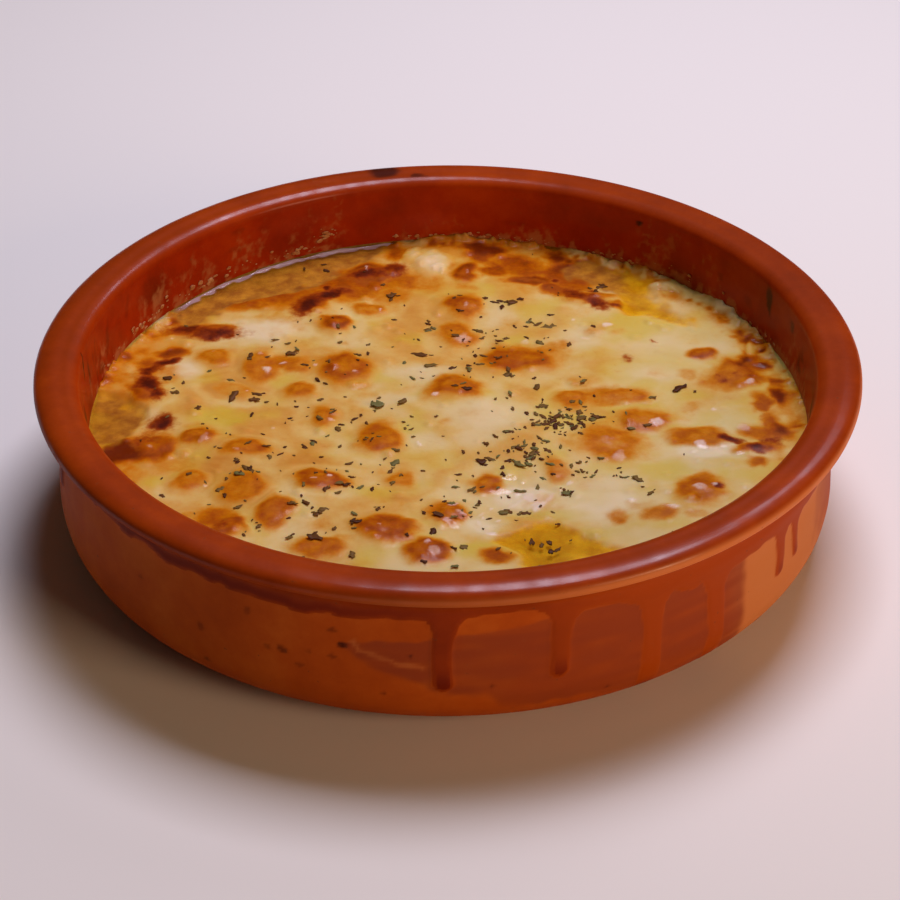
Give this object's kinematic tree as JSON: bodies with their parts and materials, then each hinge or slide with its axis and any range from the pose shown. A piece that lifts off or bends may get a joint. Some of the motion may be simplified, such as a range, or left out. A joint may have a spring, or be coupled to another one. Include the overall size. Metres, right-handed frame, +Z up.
{
  "type": "baked provolone in dish",
  "caption": "Browned melted provolone with pools of oil and dried herbs, filling a round glazed clay dish with a rolled rim.",
  "frame": {"origin": "middle of the dish's flat base", "axes": "+Z up, out of the dish's mouth; -Y towards the diner, +X to the diner's right"},
  "size_m": [0.16, 0.16, 0.035],
  "materials": {
    "glazed_clay": "red clay under a clear honey glaze",
    "baked_cheese": "melted cheese, blistered and browned, with dried herb flakes",
    "cooking_oil": "clear golden oil"
  },
  "bodies": {
    "root": {"dish": "glazed_clay", "provolone": "baked_cheese", "oil_pool_front": "cooking_oil", "oil_pool_back_right": "cooking_oil", "oil_pool_back_left": "cooking_oil", "oil_pool_left": "cooking_oil"}
  },
  "joints": []
}
